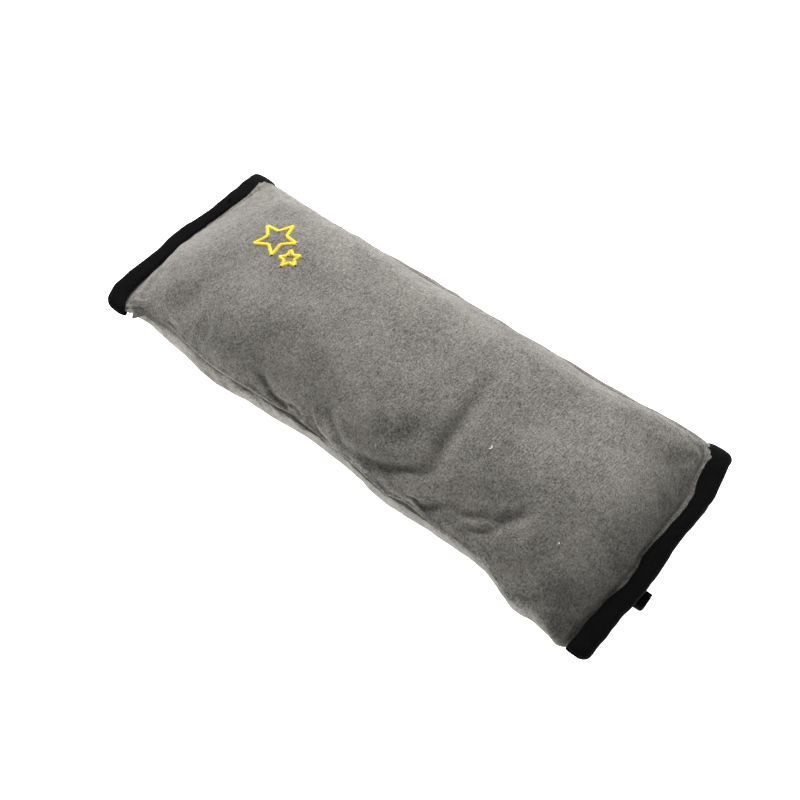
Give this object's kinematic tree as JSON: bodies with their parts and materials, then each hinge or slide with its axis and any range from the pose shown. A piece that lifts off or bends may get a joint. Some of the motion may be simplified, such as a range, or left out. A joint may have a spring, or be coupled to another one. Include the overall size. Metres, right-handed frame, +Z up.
{
  "type": "seat belt shoulder pad",
  "caption": "Stuffed plush shoulder pad for a vehicle seat belt, pinched and bound in tape at both ends, with a closing flap folded under it that forms a sleeve for the belt.",
  "frame": {"origin": "on the table under the middle of the whole pad, lying face up on its folded flap", "axes": "+X along the pad towards the wide end, +Y across it towards the seam that holds the flap, +Z up through the stuffing"},
  "size_m": [0.291, 0.1204, 0.0426],
  "materials": {
    "plush": "short dense velour pile, matte",
    "fibre": "loose polyester fibre",
    "binding": "woven binding tape, folded over the edge, slight sheen",
    "loop_tape": "soft loop pile",
    "hook_tape": "woven tape with small hooks",
    "thread": "satin-stitched rayon thread, glossy along the stitches"
  },
  "bodies": {
    "root": {"front_panel": "plush", "back_panel": "plush", "filling": "fibre", "closing_flap": "plush", "loop_strip": "loop_tape", "hook_strip": "hook_tape", "left_end_tape": "binding", "right_end_tape": "binding", "flap_edge_tape": "binding", "large_star_stitching": "thread", "small_star_stitching": "thread"}
  },
  "joints": []
}
